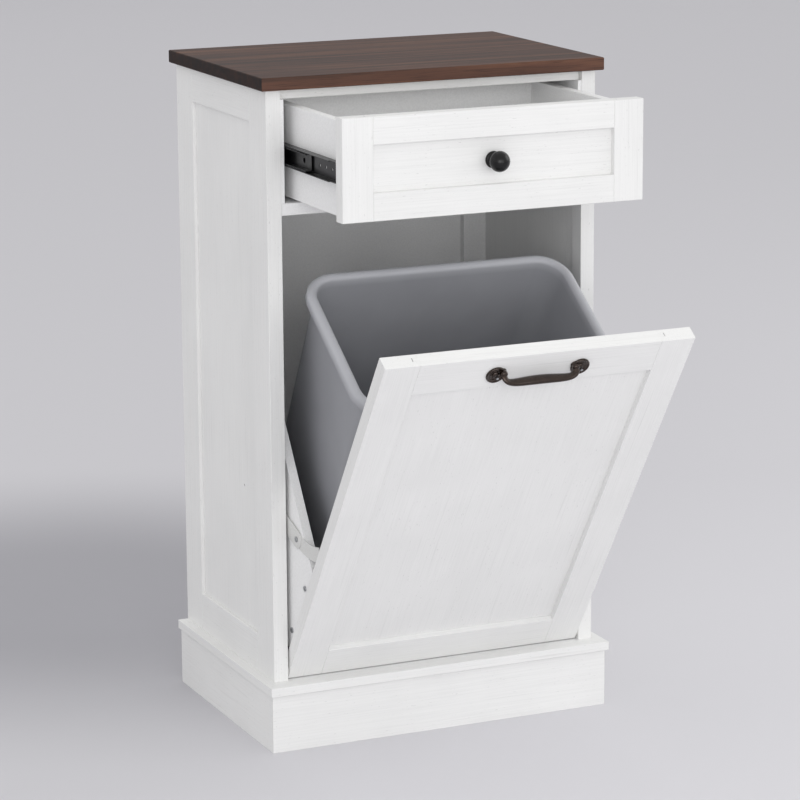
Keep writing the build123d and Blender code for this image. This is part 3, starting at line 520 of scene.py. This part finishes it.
for side in (-1, 1):
    rosette = drawRings("rosette", bow["rosette"], bow["rosetteSides"])
    placePiece(rosette, Matrix.Translation((side * bow["spacing"] / 2, 0, 0)) @ faceForward)
    bead = drawRings("bead", bow["bead"], bow["beadSides"])
    placePiece(bead, Matrix.Translation(
        (side * (bow["spacing"] / 2 - bow["beadInset"]), 0, bow["beadRise"])) @ faceForward)
    parts += [rosette, bead]
bpy.ops.object.select_all(action="DESELECT")
bpy.ops.curve.primitive_nurbs_circle_add(radius=1)
section = bpy.context.object
section.scale = (bow["tall"], bow["thick"], 1)
bpy.ops.object.transform_apply(scale=True)
section.data.resolution_u = bow["sectionSteps"]
line = bpy.data.curves.new("bow", "CURVE")
line.dimensions = "3D"
line.twist_mode = "Z_UP"
line.bevel_mode = "OBJECT"
line.bevel_object = section
line.use_fill_caps = True
line.resolution_u = bow["lineSteps"]
spline = line.splines.new("NURBS")
mirrored = [(-along, out, up, size) for along, out, up, size in reversed(bow["line"][:-1])]
places = bow["line"] + mirrored
spline.points.add(len(places) - 1)
for point, (along, out, up, size) in zip(spline.points, places):
    point.co = (along / 1000, -out / 1000, up / 1000, 1)
    point.radius = size
spline.order_u = 4
spline.use_endpoint_u = True
rod = bpy.data.objects.new("bow", line)
bpy.context.collection.objects.link(rod)
selectOnly(rod)
bpy.ops.object.convert(target="MESH")
bpy.data.objects.remove(section)
bpy.ops.object.mode_set(mode="EDIT")
bpy.ops.mesh.select_all(action="SELECT")
bpy.ops.mesh.remove_doubles(threshold=bow["weld"])
bpy.ops.mesh.normals_make_consistent(inside=False)
bpy.ops.object.mode_set(mode="OBJECT")
for part in parts:
    part.select_set(True)
bpy.ops.object.join()
rod.name = "bow_handle"
placePiece(rod, tiltForward @ Matrix.Translation((0, stileFront, bow["height"])))
finishPiece(rod, bronze, "bronze_handle", "tilt_unit", "door_handle")
print("handle made")

# Restraint straps: flat white strip with round ends, from a screw on the tray's side
# out to one on the cabinet's side
strap = {
    "width": 0.025, "thick": 0.0012, "edge": 0.0003, "edgeSteps": 2,
    # back and up from the hinge, to the screw on the tray before it tilts and to the anchor
    "fromHinge": (0.0727, 0.179), "anchor": (0.100, 0.232),
    # how far out from the middle its inner face lies at the tray and at the cabinet's side
    "near": 0.2132, "far": 0.2208,
    # the slant between them starts and ends this far from the two screws
    "bendFrom": 0.060, "bendTo": 0.0128,
    "cuts": 40, "endSteps": 10, "endFlat": 0.0001,
}
start = tiltForward @ (hinge + Vector((0, *strap["fromHinge"])))
end = hinge + Vector((0, *strap["anchor"]))
run = end - start
bpy.ops.object.select_all(action="DESELECT")
bpy.ops.mesh.primitive_plane_add(size=1, location=(run.length / 2, 0, 0))
webbing = bpy.context.object
webbing.name = "left_strap"
placePiece(webbing, Matrix())
bpy.ops.object.mode_set(mode="EDIT")
bpy.ops.mesh.select_all(action="SELECT")
bpy.ops.transform.resize(value=(run.length + strap["width"], strap["width"], 1),
                         center_override=(run.length / 2, 0, 0))
bpy.ops.mesh.bevel(offset=strap["width"] / 2 - strap["endFlat"], segments=strap["endSteps"],
                   affect="VERTICES")
for cut in range(1, strap["cuts"]):
    bpy.ops.mesh.select_all(action="SELECT")
    bpy.ops.mesh.bisect(plane_co=(run.length * cut / strap["cuts"], 0, 0), plane_no=(1, 0, 0))
bpy.ops.object.mode_set(mode="OBJECT")
slant = run.length - strap["bendTo"] - strap["bendFrom"]
for vertex in webbing.data.vertices:
    share = min(max((vertex.co.x - strap["bendFrom"]) / slant, 0), 1)
    eased = share * share * (3 - 2 * share)
    vertex.co.z = -eased * (strap["far"] - strap["near"])
if webbing.data.polygons[0].normal.z < 0:
    webbing.data.flip_normals()
giveWall(webbing, strap["thick"], strap["edge"], strap["edgeSteps"], even=False)
# the strip's length turns to y, its width to z and its face to x
standing = Matrix(((0, 0, 1, 0), (1, 0, 0, 0), (0, 1, 0, 0), (0, 0, 0, 1)))
placePiece(webbing, Matrix.Translation((-strap["near"], start.y, start.z))
           @ Matrix.Rotation(atan2(run.z, run.y), 4, "X") @ standing)
other = bpy.data.objects.new("right_strap", webbing.data.copy())
bpy.context.collection.objects.link(other)
other.data.transform(Matrix.Scale(-1, 4, (1, 0, 0)))
other.data.flip_normals()
for piece in (webbing, other):
    finishPiece(piece, strapPlastic, "white_strap", None, "restraint_straps")
    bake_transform(piece)
print("straps made")

# Studio: one wide sheet of paper that is floor nearby and runs up into a low backdrop
# far behind, clear of every side that the cabinet is looked at from; it has a painted pool of
# light, lighter, round the front right of the cabinet, and a painted shadow, darker, round a spot
# on the floor behind its left side
studio = {
    "width": 24.0, "front": -12.0, "back": 12.0, "height": 3.0, "curve": 2.0, "curveSteps": 24,
    "near": "#DCDBDF", "away": "#D2D1D5", "shade": "#D0D0D2",
    "paintedLightPool": (0.6, -0.5, 0.0), "paintedLightPoolSize": 1.6, "paintedShadow": (-0.25, 0.8, 0.0), "paintedShadowSize": 0.85,
}
bpy.ops.object.select_all(action="DESELECT")
bpy.ops.mesh.primitive_plane_add(size=1, location=(0, 0, 0))
sweep = bpy.context.object
sweep.name = "studio_sweep"
for vertex in sweep.data.vertices:
    vertex.co.x *= studio["width"]
    vertex.co.y = studio["back"] if vertex.co.y > 0 else studio["front"]
bpy.ops.object.mode_set(mode="EDIT")
bpy.ops.mesh.select_all(action="DESELECT")
bpy.ops.object.mode_set(mode="OBJECT")
for edge in sweep.data.edges:
    edge.select = all(sweep.data.vertices[v].co.y > 0 for v in edge.vertices)
bpy.ops.object.mode_set(mode="EDIT")
bpy.ops.mesh.select_mode(type="EDGE")
bpy.ops.mesh.extrude_region_move(TRANSFORM_OT_translate={"value": (0, 0, studio["height"])})
bpy.ops.object.mode_set(mode="OBJECT")
bend = sweep.modifiers.new("corner", "BEVEL")
bend.width = studio["curve"]
bend.segments = studio["curveSteps"]
bend.limit_method = "ANGLE"
bend.angle_limit = radians(30)
bpy.ops.object.modifier_apply(modifier="corner")
bpy.ops.object.shade_smooth()
paper = newMaterial("Grey studio paper")
place = addNode(paper, "ShaderNodeTexCoord")
# painted pool of light: the paper goes from the away colour to the near colour towards the front
# right of the cabinet
paintedLightPool = addNode(paper, "ShaderNodeMapping", {"vector_type": "TEXTURE"}, {
    "Vector": place.outputs["Object"], "Location": studio["paintedLightPool"],
    "Scale": [studio["paintedLightPoolSize"]] * 3})
lift = addNode(paper, "ShaderNodeTexGradient", {"gradient_type": "SPHERICAL"}, {
    "Vector": paintedLightPool.outputs["Vector"]})
sheet = addNode(paper, "ShaderNodeMix", {"data_type": "RGBA"}, {
    0: lift.outputs["Fac"], 6: linear(studio["away"]), 7: linear(studio["near"])})
# painted shadow: the paper is darkened towards the shade colour round a spot on the floor behind
# the cabinet's left side
paintedShadow = addNode(paper, "ShaderNodeMapping", {"vector_type": "TEXTURE"}, {
    "Vector": place.outputs["Object"], "Location": studio["paintedShadow"],
    "Scale": [studio["paintedShadowSize"]] * 3})
fall = addNode(paper, "ShaderNodeTexGradient", {"gradient_type": "SPHERICAL"}, {
    "Vector": paintedShadow.outputs["Vector"]})
paintedShadowTone = addNode(paper, "ShaderNodeValToRGB", {}, {"Fac": fall.outputs["Fac"]})
paintedShadowTone.color_ramp.interpolation = "EASE"
setRamp(paintedShadowTone, [(0.0, "#FFFFFF"), (0.75, studio["shade"])])
tone = addNode(paper, "ShaderNodeMix", multiply, {
    0: 1.0, 6: sheet.outputs[2], 7: paintedShadowTone.outputs["Color"]})
finishMaterial(paper, {
    "Base Color": tone.outputs[2], "Roughness": 1.0, "Specular IOR Level": 0.0})
sweep.data.materials.append(paper)

# Lamps: large soft boxes low in front, beside the camera, far out at the left and high
# at the right, all aimed at the cabinet's middle, under a bright even surround that
# keeps every shadow soft
lamps = {
    "lowFront": {"place": (0.5, -4.6, 1.3), "size": 2.4, "power": 24},
    "besideCamera": {"place": (-1.6, -4.3, 1.4), "size": 2.0, "power": 38},
    "farLeft": {"place": (-4.2, 0.3, 1.4), "size": 2.4, "power": 3},
    "highRight": {"place": (4.0, -0.6, 2.4), "size": 2.4, "power": 34},
}
lampAim = Vector((0, 0, 0.5))
for name, lamp in lamps.items():
    data = bpy.data.lights.new(name, "AREA")
    data.shape = "SQUARE"
    data.size = lamp["size"]
    data.energy = lamp["power"]
    light = bpy.data.objects.new(name, data)
    bpy.context.collection.objects.link(light)
    light.location = lamp["place"]
    light.rotation_euler = (lampAim - light.location).to_track_quat("-Z", "Y").to_euler()
surround = {"colour": "#FFFFFF", "strength": 0.83}
world = bpy.data.worlds.new("Even surround")
world.use_nodes = True
background = world.node_tree.nodes["Background"]
background.inputs["Color"].default_value = linear(surround["colour"])
background.inputs["Strength"].default_value = surround["strength"]
bpy.context.scene.world = world
bpy.context.scene.view_settings.view_transform = "Standard"

# Camera: a long lens from the front left, half a metre above the worktop; its place and
# aim are from the middle of the stiles' front on the floor
camera = {
    "place": (-1.7831, -3.8822, 1.4358), "aim": (0.0200, 0.1600, 0.4189),
    "lens": 147.72, "film": 36, "roll": -0.36,
}
cameraData = bpy.data.cameras.new("camera")
cameraData.lens = camera["lens"]
cameraData.sensor_width = camera["film"]
cameraObject = bpy.data.objects.new("camera", cameraData)
bpy.context.collection.objects.link(cameraObject)
cameraObject.location = Vector(camera["place"]) + Vector((0, stileFront, 0))
look = Vector(camera["aim"]) - Vector(camera["place"])
roll = Quaternion((0, 0, 1), radians(camera["roll"]))
cameraObject.rotation_euler = (look.to_track_quat("-Z", "Y") @ roll).to_euler()
bpy.context.scene.camera = cameraObject
print("studio, lamps and camera set")
